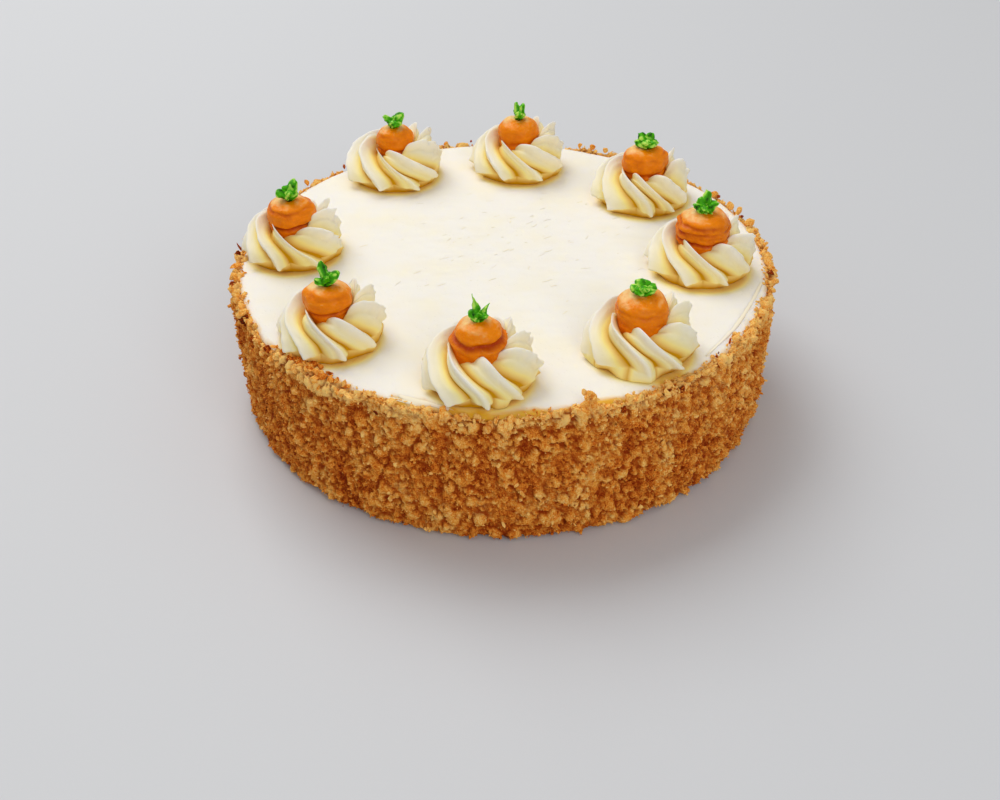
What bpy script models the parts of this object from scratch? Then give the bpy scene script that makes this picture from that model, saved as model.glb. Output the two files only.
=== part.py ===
"""A whole round carrot cake.

The cake's side is coated with chopped nuts and its top is frosted. A ring of eight piped swirls
stands on the frosting, and each swirl carries a small piped carrot with a tuft of green leaves.
Metres, +Z up. The origin is the centre of the underside, and the front is towards -Y.
"""

import math
from collections import namedtuple

import bmesh
import bpy
from mathutils import Matrix, Vector

MM = 0.001
GAP = 0.3 * MM  # between pieces that touch

# The cake, baked in a nine-inch tin
RIM_RADIUS = 117.6 * MM
FOOT_RADIUS = 115.2 * MM
RIM_HEIGHT = 59.4 * MM
FOOT_ROUNDING = 2.6 * MM
CAKE_STEPS = 60
SIDE_ROWS = 6
SIDE_UNEVENNESS = 1.0 * MM
RIM_UNEVENNESS = 0.9 * MM

# The frosting on top, let into the nut coat
FROSTING_TOP = 62.0 * MM
FROSTING_DEPTH = 8.0 * MM
FROSTING_RADIUS = 114.8 * MM
SHOULDER_WIDTH = 5.5 * MM
SHOULDER_DROP = 4.0 * MM

# A piped swirl: ridges that twist as they run down a dome to pointed tips
RIDGES = 9
STEPS_PER_RIDGE = 4
SWIRL_RINGS = 8
SWIRL_HEIGHT = 18.5 * MM
DOME_FULLNESS = 2.6  # 2 is an ellipse, more is boxier
TIP_HEIGHT = 2.5 * MM
SWIRL_CORE_HEIGHT = 4.0 * MM  # the grooves deepen towards this height on the axis
BASE_SHARE = 0.68  # the base's radius as a share of the swirl's
GROOVE_DEPTH = 0.28  # as a share of the distance to the core
RIDGE_TWIST = math.radians(60)
DOME_TOP_SHARE = 0.85  # of a quarter turn, where the uppermost ring of the dome lies

# A piped carrot: a squat ball on a foot that sits in the top of its swirl
CARROT_BASE = 12.0 * MM
CARROT_HEIGHT_SHARE = 1.3  # of its radius
CARROT_STEPS = 12
CARROT_OUTLINE = (  # share of the radius, share of the height, from the foot up
    (0.84, 0.00),
    (0.87, 0.22),
    (1.00, 0.42),
    (0.99, 0.60),
    (0.88, 0.80),
    (0.66, 0.94),
    (0.30, 1.00),
)
CREASE_RING = 3  # of the outline, counted from 0
SOCKET_CLEARANCE = 1.5 * GAP

# A leaf: a squashed ball, wider than it is thick
LEAF_STEPS = 6
LEAF_RINGS = 4
LEAF_THICKNESS = 0.62  # as a share of its width
LEAF_SINK = 1.6 * MM  # how far the leaves start below the tuft's flat base

# One row for each swirl: bearing on the cake from +X, distance from the centre, radius and the
# bearing of one ridge tip; radius of the carrot and depth of its crease; then for each leaf its
# bearing, lean from upright, length and width. Angles in degrees, lengths in millimetres.
Topping = namedtuple("Topping", "bearing distance radius tip carrot crease leaves")
TOPPINGS = (
    Topping(123.0, 94.0, 24.0, 16, 9.4, 0.4, ((160, 42, 8.0, 4.2), (-20, 22, 9.0, 6.0))),
    Topping(85.0, 86.1, 23.5, 14, 10.2, 0.2, ((110, 8, 10.0, 4.6), (0, 24, 9.0, 4.8))),
    Topping(
        39.6, 84.4, 23.8, 20, 10.6, 0.6,
        ((-90, 48, 6.6, 6.0), (150, 42, 8.0, 6.4), (30, 42, 8.0, 6.4), (90, 12, 9.0, 6.4)),
    ),
    Topping(
        -6.1, 84.8, 24.2, 8, 11.2, 1.0,
        ((200, 48, 8.0, 6.2), (-30, 40, 8.4, 6.2), (80, 16, 11.5, 6.2), (-90, 52, 6.4, 5.6)),
    ),
    Topping(
        -54.0, 90.2, 23.8, -10, 10.6, 0.4,
        ((170, 48, 7.6, 6.4), (-10, 48, 8.0, 6.4), (90, 16, 9.4, 6.8), (-90, 48, 6.4, 5.6)),
    ),
    Topping(
        -95.8, 92.1, 23.8, -4, 10.6, 1.4,
        ((150, 12, 14.5, 3.6), (15, 30, 10.5, 3.6), (-90, 38, 6.6, 5.0)),
    ),
    Topping(
        -136.7, 93.7, 23.0, 9, 9.8, 0.8,
        ((120, 8, 12.5, 4.2), (0, 44, 9.0, 5.6), (190, 54, 6.6, 3.8)),
    ),
    Topping(
        177.2, 91.1, 23.2, 26, 10.4, 0.8,
        ((190, 46, 8.0, 5.6), (30, 18, 11.5, 5.6), (-60, 40, 7.0, 5.0)),
    ),
)

NUT_BROWN = ("nut_crust", "#B9803F", 0.85)
IVORY = ("cream_frosting", "#F4ECDC", 0.45)
ORANGE = ("orange_frosting", "#E17A1C", 0.40)
GREEN = ("green_frosting", "#2F9422", 0.35)


def linear(channel):
    """Turn one sRGB channel from 0 to 1 into linear light."""
    return channel / 12.92 if channel <= 0.04045 else ((channel + 0.055) / 1.055) ** 2.4


def material(look):
    """Return the material of a (name, sRGB hex, roughness) look, making it on first use."""
    name, colour, roughness = look
    made = bpy.data.materials.get(name)
    if made is None:
        made = bpy.data.materials.new(name)
        made.use_nodes = True
        shader = made.node_tree.nodes["Principled BSDF"]
        channels = [linear(int(colour[i : i + 2], 16) / 255) for i in (1, 3, 5)]
        shader.inputs["Base Color"].default_value = (*channels, 1.0)
        shader.inputs["Roughness"].default_value = roughness
        shader.inputs["Metallic"].default_value = 0.0
    return made


def add_object(name, mesh, collection, look=None):
    """Put a mesh in the scene as a smooth-shaded object."""
    placed = bpy.data.objects.new(name, mesh)
    collection.objects.link(placed)
    mesh.shade_smooth()
    if look:
        mesh.materials.append(material(look))
    return placed


def mesh_of(shape):
    """Turn a bmesh into a mesh with its faces pointing out."""
    bmesh.ops.recalc_face_normals(shape, faces=shape.faces)
    mesh = bpy.data.meshes.new("shape")
    shape.to_mesh(mesh)
    shape.free()
    return mesh


def turned(outline, collection):
    """Turn an outline of (radius, height) points, from the top axis down, about the Z axis."""
    mesh = bpy.data.meshes.new("outline")
    edges = [(i, i + 1) for i in range(len(outline) - 1)]
    mesh.from_pydata([(radius, 0, height) for radius, height in outline], edges, [])
    guide = add_object("outline", mesh, collection)
    screw = guide.modifiers.new("Turn", "SCREW")
    screw.steps = CAKE_STEPS
    screw.render_steps = CAKE_STEPS
    screw.use_merge_vertices = True
    screw.merge_threshold = 0.00001
    solid = bpy.data.meshes.new_from_object(guide.evaluated_get(bpy.context.evaluated_depsgraph_get()))
    bpy.data.objects.remove(guide)
    return solid


def add_cutter(name, mesh, collection):
    """Add a body that is only used to cut or to join others."""
    cutter = add_object(name, mesh, collection)
    cutter.hide_render = True
    cutter.display_type = "WIRE"
    return cutter


def combine(target, other, operation):
    """Join another body to the target, or cut it away."""
    boolean = target.modifiers.new(other.name, "BOOLEAN")
    boolean.operation = operation
    boolean.solver = "EXACT"
    boolean.object = other


def wobble(bearing, height):
    """Return an unevenness from -1 to 1 that runs smoothly round the cake."""
    waves = (
        math.sin(6 * bearing + 1.3),
        math.sin(11 * bearing - 90 * height + 0.4),
        math.sin(17 * bearing + 140 * height + 2.1),
    )
    return sum(waves) / len(waves)


def cake_outline():
    """The pocket for the frosting, the rim of the nut coat, the side and the underside."""
    pocket_radius = FROSTING_RADIUS + GAP
    pocket_floor = FROSTING_TOP - FROSTING_DEPTH - GAP
    outline = [
        (0, pocket_floor),
        (pocket_radius, pocket_floor),
        (pocket_radius, RIM_HEIGHT - 1.6 * MM),
        ((pocket_radius + RIM_RADIUS) / 2, RIM_HEIGHT),
    ]
    top = RIM_HEIGHT - 2 * MM
    for row in range(SIDE_ROWS):
        down = row / (SIDE_ROWS - 1)
        radius = RIM_RADIUS + (FOOT_RADIUS - RIM_RADIUS) * down
        outline.append((radius, top + (FOOT_ROUNDING - top) * down))
    outline += [(FOOT_RADIUS - FOOT_ROUNDING, 0), (0, 0)]
    return outline


def build_cake(collection):
    """The cake with its coat of nuts, uneven round the side and along the rim."""
    mesh = turned(cake_outline(), collection)
    for vertex in mesh.vertices:
        x, y, z = vertex.co
        radius = math.hypot(x, y)
        bearing = math.atan2(y, x)
        if z > RIM_HEIGHT - MM:
            z += RIM_UNEVENNESS * wobble(2 * bearing, 0)
        elif radius > FROSTING_RADIUS + MM or FOOT_ROUNDING / 2 < z < FROSTING_TOP - 2 * FROSTING_DEPTH:
            grown = 1 + SIDE_UNEVENNESS * wobble(bearing, z) / radius
            x, y = x * grown, y * grown
        vertex.co = (x, y, z)
    return add_object("cake", mesh, collection, NUT_BROWN)


def build_frosting(collection):
    """The flat frosting with its rounded shoulder."""
    shoulder = []
    for step in range(4):
        turn = math.radians(90 - 30 * step)
        radius = FROSTING_RADIUS - SHOULDER_WIDTH * (1 - math.cos(turn))
        shoulder.append((radius, FROSTING_TOP - SHOULDER_DROP * (1 - math.sin(turn))))
    bottom = FROSTING_TOP - FROSTING_DEPTH
    outline = [(0, FROSTING_TOP), *shoulder, (FROSTING_RADIUS, bottom), (0, bottom)]
    return add_object("frosting", turned(outline, collection), collection, IVORY)


def ball(steps, rings, radius=1.0):
    """A ball, and its vertices sorted by ring from the upper pole down."""
    shape = bmesh.new()
    bmesh.ops.create_uvsphere(shape, u_segments=steps, v_segments=rings, radius=radius)
    return shape


def ring_of(vertex, rings):
    """Count the ring of a unit ball that a vertex lies on, from 0 at the upper pole."""
    return round(math.acos(max(-1.0, min(1.0, vertex.co.z))) / math.pi * rings)


def dome(share, radius):
    """Radius and height of the crest line, from the rim (share 0) to the top of the dome (1)."""
    lowest = math.asin((TIP_HEIGHT / SWIRL_HEIGHT) ** (DOME_FULLNESS / 2))
    turn = lowest + (math.pi / 2 * DOME_TOP_SHARE - lowest) * share
    power = 2 / DOME_FULLNESS
    return radius * math.cos(turn) ** power, SWIRL_HEIGHT * math.sin(turn) ** power


def swirl_point(ring, bearing, topping):
    """Place one vertex of a swirl: a crest or groove on the dome, or a point of its flat base."""
    radius = topping.radius * MM
    tip_ring = SWIRL_RINGS - 2
    if ring == 0:
        return Vector((0, 0, SWIRL_HEIGHT))
    if ring == SWIRL_RINGS:
        return Vector((0, 0, 0))
    ridge_share = bearing / (2 * math.pi) * RIDGES
    groove = 0.5 - 0.5 * math.cos(2 * math.pi * ridge_share)
    if ring > tip_ring:
        reach, height = radius * (BASE_SHARE - 0.05 * groove), 0.0
        twist = 0.0
    else:
        share = (tip_ring - ring) / (tip_ring - 1)
        reach, height = dome(share, radius)
        shrink = 1 - GROOVE_DEPTH * groove
        reach *= shrink
        height = SWIRL_CORE_HEIGHT + (height - SWIRL_CORE_HEIGHT) * shrink
        twist = -RIDGE_TWIST * share
    turn = bearing + math.radians(topping.tip) + twist
    return Vector((reach * math.cos(turn), reach * math.sin(turn), height))


def build_swirl(name, topping, collection):
    """A twisted, ridged dome of frosting."""
    shape = ball(RIDGES * STEPS_PER_RIDGE, SWIRL_RINGS)
    for vertex in shape.verts:
        bearing = math.atan2(vertex.co.y, vertex.co.x)
        vertex.co = swirl_point(ring_of(vertex, SWIRL_RINGS), bearing, topping)
    return add_object(name, mesh_of(shape), collection, IVORY)


def carrot_height(topping):
    """The height of the carrot from its foot to its flat top."""
    return CARROT_HEIGHT_SHARE * topping.carrot * MM


def carrot_shape(topping, clearance=0.0):
    """The carrot's ball and foot, or with a clearance the socket that it needs."""
    rings = len(CARROT_OUTLINE) + 1
    shape = ball(CARROT_STEPS, rings)
    for vertex in shape.verts:
        level = rings - ring_of(vertex, rings)
        share, height = (0.0, 0.0)
        if 0 < level < rings:
            share, height = CARROT_OUTLINE[level - 1]
        if level == rings:
            height = 1.0
        reach = share * topping.carrot * MM
        if level - 1 == CREASE_RING:
            reach -= topping.crease * MM
        turn = math.atan2(vertex.co.y, vertex.co.x)
        lift = CARROT_BASE + height * carrot_height(topping)
        vertex.co = (reach * math.cos(turn), reach * math.sin(turn), lift)
    bmesh.ops.recalc_face_normals(shape, faces=shape.faces)
    shape.normal_update()
    for vertex, normal in [(v, v.normal.copy()) for v in shape.verts]:
        vertex.co += normal * clearance
    return mesh_of(shape)


def leaf_shape(leaf):
    """One leaf, leaning out from the middle of the tuft."""
    bearing, lean, length, width = leaf
    shape = ball(LEAF_STEPS, LEAF_RINGS)
    half = Vector((LEAF_THICKNESS * width, width, length)) * MM / 2
    lift = Matrix.Translation((0, 0, half.z - LEAF_SINK))
    turn = Matrix.Rotation(math.radians(bearing), 4, "Z") @ Matrix.Rotation(math.radians(lean), 4, "Y")
    bmesh.ops.transform(shape, matrix=turn @ lift @ Matrix.Diagonal((*half, 1)), verts=shape.verts)
    return mesh_of(shape)


def floor_cutter():
    """A block that reaches down from the tuft's flat base."""
    side = 40 * MM
    shape = bmesh.new()
    bmesh.ops.create_cube(shape, size=side)
    bmesh.ops.translate(shape, vec=(0, 0, -side / 2), verts=shape.verts)
    return mesh_of(shape)


def build_leaves(name, topping, collection, cutters):
    """A tuft of leaves joined at the foot, with a flat base."""
    first, *others = topping.leaves
    tuft = add_object(name, leaf_shape(first), collection, GREEN)
    parts = [tuft]
    for number, leaf in enumerate(others):
        part = add_cutter(f"{name}_leaf_{number}", leaf_shape(leaf), cutters)
        combine(tuft, part, "UNION")
        parts.append(part)
    floor = add_cutter(f"{name}_floor", floor_cutter(), cutters)
    combine(tuft, floor, "DIFFERENCE")
    parts.append(floor)
    for part in parts:
        part.location.z = CARROT_BASE + carrot_height(topping) + GAP
    return parts


def build_topping(number, topping, collection, cutters):
    """A swirl with its carrot and leaves, carried by an empty on the frosting."""
    place = bpy.data.objects.new(f"topping_{number}", None)
    collection.objects.link(place)
    bearing = math.radians(topping.bearing)
    reach = topping.distance * MM
    place.location = (reach * math.cos(bearing), reach * math.sin(bearing), FROSTING_TOP + GAP)
    swirl = build_swirl(f"swirl_{number}", topping, collection)
    socket = add_cutter(f"socket_{number}", carrot_shape(topping, SOCKET_CLEARANCE), cutters)
    combine(swirl, socket, "DIFFERENCE")
    carrot = add_object(f"carrot_{number}", carrot_shape(topping), collection, ORANGE)
    leaves = build_leaves(f"leaves_{number}", topping, collection, cutters)
    for part in (swirl, socket, carrot, *leaves):
        part.parent = place


def main():
    for leftover in list(bpy.data.objects):
        bpy.data.objects.remove(leftover)
    pieces = bpy.data.collections.new("carrot_cake")
    cutters = bpy.data.collections.new("cutters")
    for collection in (pieces, cutters):
        bpy.context.scene.collection.children.link(collection)
    build_cake(pieces)
    build_frosting(pieces)
    for number, topping in enumerate(TOPPINGS, start=1):
        build_topping(number, topping, pieces, cutters)


main()
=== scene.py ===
"""The looks of a whole carrot cake, built round its fixed frame.

A nut-crumb coat with loose grains and nut pieces, spread frosting, eight piped swirls, and on
each swirl a piped carrot with its leaves. Lengths in the mesh code are millimetres, +Z up.
"""

import math
from collections import namedtuple
from functools import partial

import bmesh
import bpy
import numpy as np
from bpy.props import FloatProperty, FloatVectorProperty, IntProperty, PointerProperty
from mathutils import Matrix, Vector


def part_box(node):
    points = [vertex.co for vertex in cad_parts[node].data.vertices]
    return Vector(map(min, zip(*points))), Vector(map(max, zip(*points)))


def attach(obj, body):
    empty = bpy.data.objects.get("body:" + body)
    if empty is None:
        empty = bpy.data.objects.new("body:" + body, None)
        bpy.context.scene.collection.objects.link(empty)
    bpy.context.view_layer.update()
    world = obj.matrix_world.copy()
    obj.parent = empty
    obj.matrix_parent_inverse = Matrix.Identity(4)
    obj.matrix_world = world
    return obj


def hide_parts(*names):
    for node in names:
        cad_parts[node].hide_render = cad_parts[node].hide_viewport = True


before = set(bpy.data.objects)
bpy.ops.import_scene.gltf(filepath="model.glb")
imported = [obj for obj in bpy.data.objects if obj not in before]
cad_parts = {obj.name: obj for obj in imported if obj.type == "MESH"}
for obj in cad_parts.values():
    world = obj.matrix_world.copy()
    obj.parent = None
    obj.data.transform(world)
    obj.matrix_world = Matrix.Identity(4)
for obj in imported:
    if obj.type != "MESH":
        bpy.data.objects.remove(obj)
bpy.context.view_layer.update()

bl_info = {
    "name": "Carrot cake",
    "version": (1, 0, 0),
    "blender": (4, 5, 0),
    "location": "View3D > Sidebar > Carrot Cake",
    "description": "Builds a nut-coated carrot cake with piped swirls, carrots and leaves",
    "category": "Add Mesh",
}

MM = 0.001
TAU = 2 * math.pi


def linear(colour):
    """Turn an sRGB hex colour into the linear numbers that a colour socket takes."""
    channels = (int(colour[i : i + 2], 16) / 255 for i in (1, 3, 5))
    return tuple(c / 12.92 if c <= 0.04045 else ((c + 0.055) / 1.055) ** 2.4 for c in channels)


def cad_range(node, axis):
    """The lowest and highest place of a CAD node along an axis, in millimetres."""
    low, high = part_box(node)
    return low[axis] / MM, high[axis] / MM


def cad_radius(node):
    """Half of a CAD node's width, in millimetres."""
    low, high = cad_range(node, 0)
    return (high - low) / 2


# The spread frosting's underside and top
FLOOR, TOP = cad_range("frosting", 2)
FROSTING_RADIUS, CAKE_RADIUS = cad_radius("frosting"), cad_radius("cake")

# One row for each swirl. Bearing on the cake from +X, distance from the centre and radius; the
# bearing of its first ridge tip; for its nine ridges, counter-clockwise from that one, how far
# each tip is turned from even spacing and how far it reaches; how far its ridges wind round on the
# right, front right, front left and left; low lobes under it (bearing, half width, share).
Topping = namedtuple(
    "Topping", "bearing distance radius tip turns reaches twists skirt carrot folds leaves"
)
# A fold in a carrot: its height share at the front, depth, half width, slant and the step in
Fold = namedtuple("Fold", "height depth width slant step", defaults=(0,))
# A leaf: bearing, lean from upright, length, width, how much its edge ruffles, how pointed it is
Leaf = namedtuple("Leaf", "bearing lean length width ruffle point", defaults=(0,))

TOPPINGS = (
    Topping(
        123, 94, 24, 16, (0, 3, -2, 4, -3, 0, 1, 0, -6),
        (0.98, 1, 0.97, 1, 1.02, 1.07, 1.07, 1.06, 1), (76, 86, 80, 140), (),
        9.4, (Fold(0.3, 0.9, 0.07, 0.05, -0.4), Fold(0.84, 0.4, 0.05, 0.05)),
        (Leaf(165, 40, 8.6, 4.8, 0.4, 0.1), Leaf(10, 30, 9.2, 6.8, 0.5),
         Leaf(-60, 44, 6.8, 5.6, 0.5), Leaf(-120, 38, 5.8, 4.8, 0.4), Leaf(70, 24, 7, 4.6, 0.4)),
    ),
    Topping(
        85, 86.1, 23.5, 14, (2, -3, 3, 0, 4, -2, -2, 1, 2),
        (1, 0.98, 1, 0.97, 1, 1, 0.97, 1, 1), (70, 80, 80, 140), (),
        10.2, (Fold(0.34, 0.3, 0.08, 0.06),),
        (Leaf(140, 8, 9.4, 5, 0.4, 0.3), Leaf(15, 14, 9, 5, 0.4, 0.3),
         Leaf(-90, 30, 6.4, 5, 0.5), Leaf(-30, 46, 5.6, 4.2, 0.4)),
    ),
    Topping(
        39.6, 84.4, 23.8, 20, (-3, 2, 0, -4, 11, 3, 14, 2, -10),
        (0.98, 1, 1, 1.02, 1.05, 0.95, 0.92, 0.94, 0.93), (34, 64, 76, 140), (),
        10.6, (Fold(0.3, 0.8, 0.07, 0.06, -0.6), Fold(0.8, 0.5, 0.05, 0.04)),
        (Leaf(175, 60, 7.4, 4.6, 0.8), Leaf(5, 60, 7.4, 4.6, 0.8), Leaf(130, 34, 8.6, 5.2, 0.6),
         Leaf(50, 34, 8.6, 5.2, 0.6), Leaf(-90, 40, 6.6, 5.4, 0.6), Leaf(-35, 56, 6.8, 4.8, 0.6)),
    ),
    Topping(
        -6.1, 84.8, 24.2, 8, (-9, 2, -3, 3, 0, -10, 1, 4, 3),
        (1, 1, 0.98, 1, 1, 0.99, 0.92, 0.92, 0.94), (30, 58, 98, 150), (),
        11.2, (Fold(0.32, 1, 0.05, 0.05, -0.3), Fold(0.48, 0.9, 0.045, -0.03),
               Fold(0.62, 0.9, 0.045, 0.05), Fold(0.76, 0.8, 0.045, 0.02, 0.3)),
        (Leaf(190, 56, 8, 4.8, 0.9), Leaf(0, 44, 8, 5, 0.9), Leaf(70, 18, 10, 5, 0.9, 0.2),
         Leaf(140, 30, 8, 4.6, 0.9), Leaf(-90, 52, 6.6, 5, 1), Leaf(-140, 60, 6.2, 4, 0.9)),
    ),
    Topping(
        -54, 90.2, 23.8, -10, (2, -3, 3, 0, -3, 2, -9, 4, -1),
        (0.98, 1, 1, 1, 0.97, 0.98, 0.96, 0.92, 0.99), (42, 56, 98, 150),
        ((-98, 26, 0.15), (-156, 16, 0.11)),
        10.6, (Fold(0.6, 0.35, 0.05, -0.06), Fold(0.36, 0.25, 0.07, 0.1)),
        (Leaf(175, 56, 7.4, 5.4, 0.5), Leaf(5, 54, 7.4, 5.4, 0.5), Leaf(120, 30, 7.4, 5.4, 0.5),
         Leaf(60, 34, 7, 5.2, 0.5), Leaf(-90, 30, 6, 5.2, 0.5), Leaf(-145, 58, 6.6, 4.6, 0.5),
         Leaf(-35, 58, 6.6, 4.6, 0.5)),
    ),
    Topping(
        -95.8, 92.1, 23.8, -4, (0, -7, 3, -3, 2, 11, 7, 1, -5),
        (1, 1, 0.98, 1, 1, 0.96, 1.03, 1.06, 1.03), (46, 40, 94, 150), ((-66, 9, 0.1),),
        10.6, (Fold(0.56, 1.9, 0.07, 0.03, 1.2),),
        (Leaf(165, 7, 13, 4.4, 0.4, 0.8), Leaf(10, 27, 9.6, 4.2, 0.5, 0.8),
         Leaf(175, 40, 6.8, 4.4, 0.5), Leaf(-90, 26, 6.6, 5, 0.5, 0.1),
         Leaf(-30, 46, 6.2, 4.2, 0.5), Leaf(-140, 54, 5.2, 3.8, 0.5)),
    ),
    Topping(
        -136.7, 93.7, 23, 9, (0, -2, 3, 0, -4, 10, -1, -1, 0),
        (1, 1, 0.98, 1.02, 1.03, 0.94, 0.93, 0.98, 0.93), (46, 60, 84, 150), (),
        9.8, (Fold(0.36, 0.9, 0.06, 0.05, -0.7), Fold(0.8, 0.7, 0.06, -0.05, 0.2)),
        (Leaf(150, 10, 11.5, 5, 0.9, 0.5), Leaf(0, 40, 8.6, 5.6, 0.3), Leaf(190, 60, 6.8, 4.2, 0.4),
         Leaf(-80, 26, 6.6, 4.6, 0.8, 0.2), Leaf(60, 30, 6.4, 4.2, 0.6)),
    ),
    Topping(
        177.2, 91.1, 23.2, 26, (0, -3, 2, 3, 0, -3, -7, -1, 3),
        (1, 0.98, 1, 1.02, 1, 0.97, 0.92, 1, 0.97), (58, 82, 80, 150), (),
        10.4, (Fold(0.34, 0.9, 0.06, 0.05, -0.6), Fold(0.82, 0.6, 0.05, 0.06, 0.2)),
        (Leaf(190, 52, 8.2, 5.4, 0.3), Leaf(35, 18, 10, 6, 0.4, 0.1), Leaf(-75, 28, 6.8, 5.2, 0.8),
         Leaf(120, 30, 7.4, 5, 0.5), Leaf(-10, 50, 6, 4.4, 0.6)),
    ),
)

RIDGES = 9
# Outlines from the well in the middle, over the crown round the carrot, down to the tips: share of
# the swirl's radius and height in millimetres. A crest also has its share of the twist to come.
CREST_OUTLINE = (
    (0.02, 10.6, 1), (0.3, 11.2, 1), (0.405, 14.2, 1), (0.455, 17, 0.98), (0.53, 18.1, 0.82),
    (0.64, 17.2, 0.62), (0.76, 14.6, 0.42), (0.87, 11, 0.235), (0.955, 6.8, 0.08), (1, 2.6, 0),
)
BLUNT_OUTLINE = (
    (0.02, 10.6), (0.3, 11.2), (0.405, 13.8), (0.46, 15.8), (0.54, 17.2), (0.68, 17.9),
    (0.82, 16.4), (0.91, 13), (0.955, 8.6), (0.955, 5),
)
GROOVE_OUTLINE = (
    (0.02, 9.8), (0.24, 10), (0.32, 10.3), (0.38, 10.7), (0.46, 11), (0.54, 10.6),
    (0.64, 9.2), (0.72, 7.4), (0.77, 6), (0.79, 4.6),
)
# What the outlines' radius and twist are drawn at, in millimetres, to space their points evenly
OUTLINE_RADIUS, OUTLINE_TWIST = 24, 14
# How far a swirl stands above the frosting's top, and its foot below that
SWIRL_LIFT, SWIRL_SINK = 0.3, 0.7
CARROT_BASE = 12.0
CARROT_HEIGHT_SHARE = 1.3
# Each carrot's width as a share of its place's
CARROT_WIDTHS = (0.87, 0.92, 0.91, 0.99, 0.96, 0.99, 0.93, 0.95)
LEAF_GAP = 0.3


# Settings


def colour_setting(name, description, default):
    """A colour that the user can change, given as sRGB hex."""
    return FloatVectorProperty(
        name=name, description=description, subtype="COLOR", size=3, min=0, max=1,
        default=linear(default),
    )


def length_setting(name, description, millimetres, low=0.0, high=300.0):
    """A length that the user can change, given in millimetres."""
    return FloatProperty(
        name=name, description=description, subtype="DISTANCE", unit="LENGTH",
        default=millimetres * MM, min=low * MM, max=high * MM, precision=5,
    )


def amount_setting(name, description, default, kind=FloatProperty, **unit):
    """A number or power that the user can change."""
    return kind(name=name, description=description, default=default, min=0, **unit)


class NutCoatSettings(bpy.types.PropertyGroup):
    """The chopped-nut coat round the side."""

    clump_depth: length_setting("Clump depth", "How far the clumps of nuts stand out", 3.0, 0, 4)
    clump_width: length_setting("Clump width", "Width of a clump of nuts", 5.4, 1, 20)
    chip_width: length_setting("Chip width", "Width of one chopped bit of nut", 1.9, 0.5, 6)
    grain_width: length_setting("Grain width", "Width of one ground grain of nut", 0.8, 0.3, 3)
    chips: amount_setting("Loose chips", "Chopped bits on the coat", 3200, IntProperty)
    grains: amount_setting("Loose grains", "Ground grains on the coat", 23000, IntProperty)
    pale: colour_setting("Pale nut", "Fresh-cut nut flesh", "#FFD07A")
    golden: colour_setting("Golden nut", "Lightly toasted nut", "#F2A642")
    toasted: colour_setting("Toasted nut", "Well toasted nut", "#DC781E")
    brown: colour_setting("Brown nut", "Deeply toasted nut", "#943000")
    skin: colour_setting("Nut skin", "The thin brown skin of a nut", "#481400")


class FrostingSettings(bpy.types.PropertyGroup):
    """The spread and piped cream-cheese frosting."""

    waviness: length_setting("Waviness", "How uneven the spread top is", 0.35, 0, 2)
    ivory: colour_setting("Ivory", "Frosting on open faces", "#F5F2EA")
    # cream and the buttery yellow below stand for painted shade, on the sides of ridges and deep in
    # grooves
    cream: colour_setting("Cream", "Frosting on the side of a ridge", "#FFE998")
    butter_shade: colour_setting("Butter", "Frosting deep in a groove", "#D69C00")
    # golden frosting where it meets the nuts: partly their oil drawn into it, partly painted shade
    # on the front shoulder
    soaked_and_shaded: colour_setting("Soaked edge", "Frosting that has drawn oil from the nuts", "#EAB222")
    glow: length_setting("Glow depth", "How deep light travels in the frosting", 1.7, 0, 10)


class CarrotSettings(bpy.types.PropertyGroup):
    """The piped orange carrots."""

    # pale is a painted highlight and deep a painted shade in the folds; orange is the frosting's
    # own colour
    pale: colour_setting("Pale orange", "Thin, whipped tops that catch the light", "#FFD28C")
    orange: colour_setting("Orange", "Orange frosting on open faces", "#FA8E00")
    deep: colour_setting("Deep orange", "Orange frosting in a fold", "#B83E00")


class LeafSettings(bpy.types.PropertyGroup):
    """The piped green leaves."""

    # pale is a painted highlight and dark a painted shade in the folds; green is the frosting's own
    # colour
    pale: colour_setting("Pale green", "Thin edges that catch the light", "#C2F064")
    green: colour_setting("Green", "Green frosting on open faces", "#4CB800")
    dark: colour_setting("Dark green", "Green frosting in a fold", "#063C00")


class StageSettings(bpy.types.PropertyGroup):
    """The floor and the lights."""

    floor: colour_setting("Floor", "The plain floor", "#CDD0D5")
    key_power: amount_setting("Key light", "Power of the big soft light", 25.8, unit="POWER")
    fill_power: amount_setting("Fill light", "Power of the front fill", 5.6, unit="POWER")
    room: amount_setting("Room light", "Strength of the light from all round", 0.45)


# Helpers for meshes, noise and materials


def smooth(x, low=0.0, high=1.0):
    """0 below low, 1 above high, and a smooth step between them."""
    t = np.clip((x - low) / (high - low), 0, 1)
    return t * t * (3 - 2 * t)


def bump(x, width, power=2):
    """1 where x is 0, and less and less away from it."""
    return np.exp(-((x / width) ** power))


def degrees_from(bearing, centre):
    """How far a bearing in radians lies from a centre in degrees: -180 to 180 degrees."""
    return (np.degrees(bearing) - centre + 180) % 360 - 180


def polar(r, turn, z):
    """Points at a distance, bearing and height about the vertical axis."""
    return np.stack(np.broadcast_arrays(r * np.cos(turn), r * np.sin(turn), z), -1)


def unit(vectors):
    """Vectors of length 1 in the same directions."""
    return vectors / np.linalg.norm(vectors, axis=-1, keepdims=True)


def bearings(columns):
    """The bearings of a number of columns spaced evenly round a body."""
    return np.arange(columns) / columns * TAU


def turned(outline, columns):
    """An outline's distances and heights, each repeated for every column round a body."""
    return (np.repeat(outline[:, k : k + 1], columns, 1) for k in (0, 1))


def swung(points, degrees, a, b):
    """Points turned by an angle from axis a toward axis b."""
    c, s = math.cos(math.radians(degrees)), math.sin(math.radians(degrees))
    moved = points.copy()
    moved[..., a] = c * points[..., a] - s * points[..., b]
    moved[..., b] = s * points[..., a] + c * points[..., b]
    return moved


def capped(first, field, last):
    """A grid's values in a row, with one more for the pole at each end."""
    return np.concatenate([[first], field.ravel(), [last]])


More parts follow.
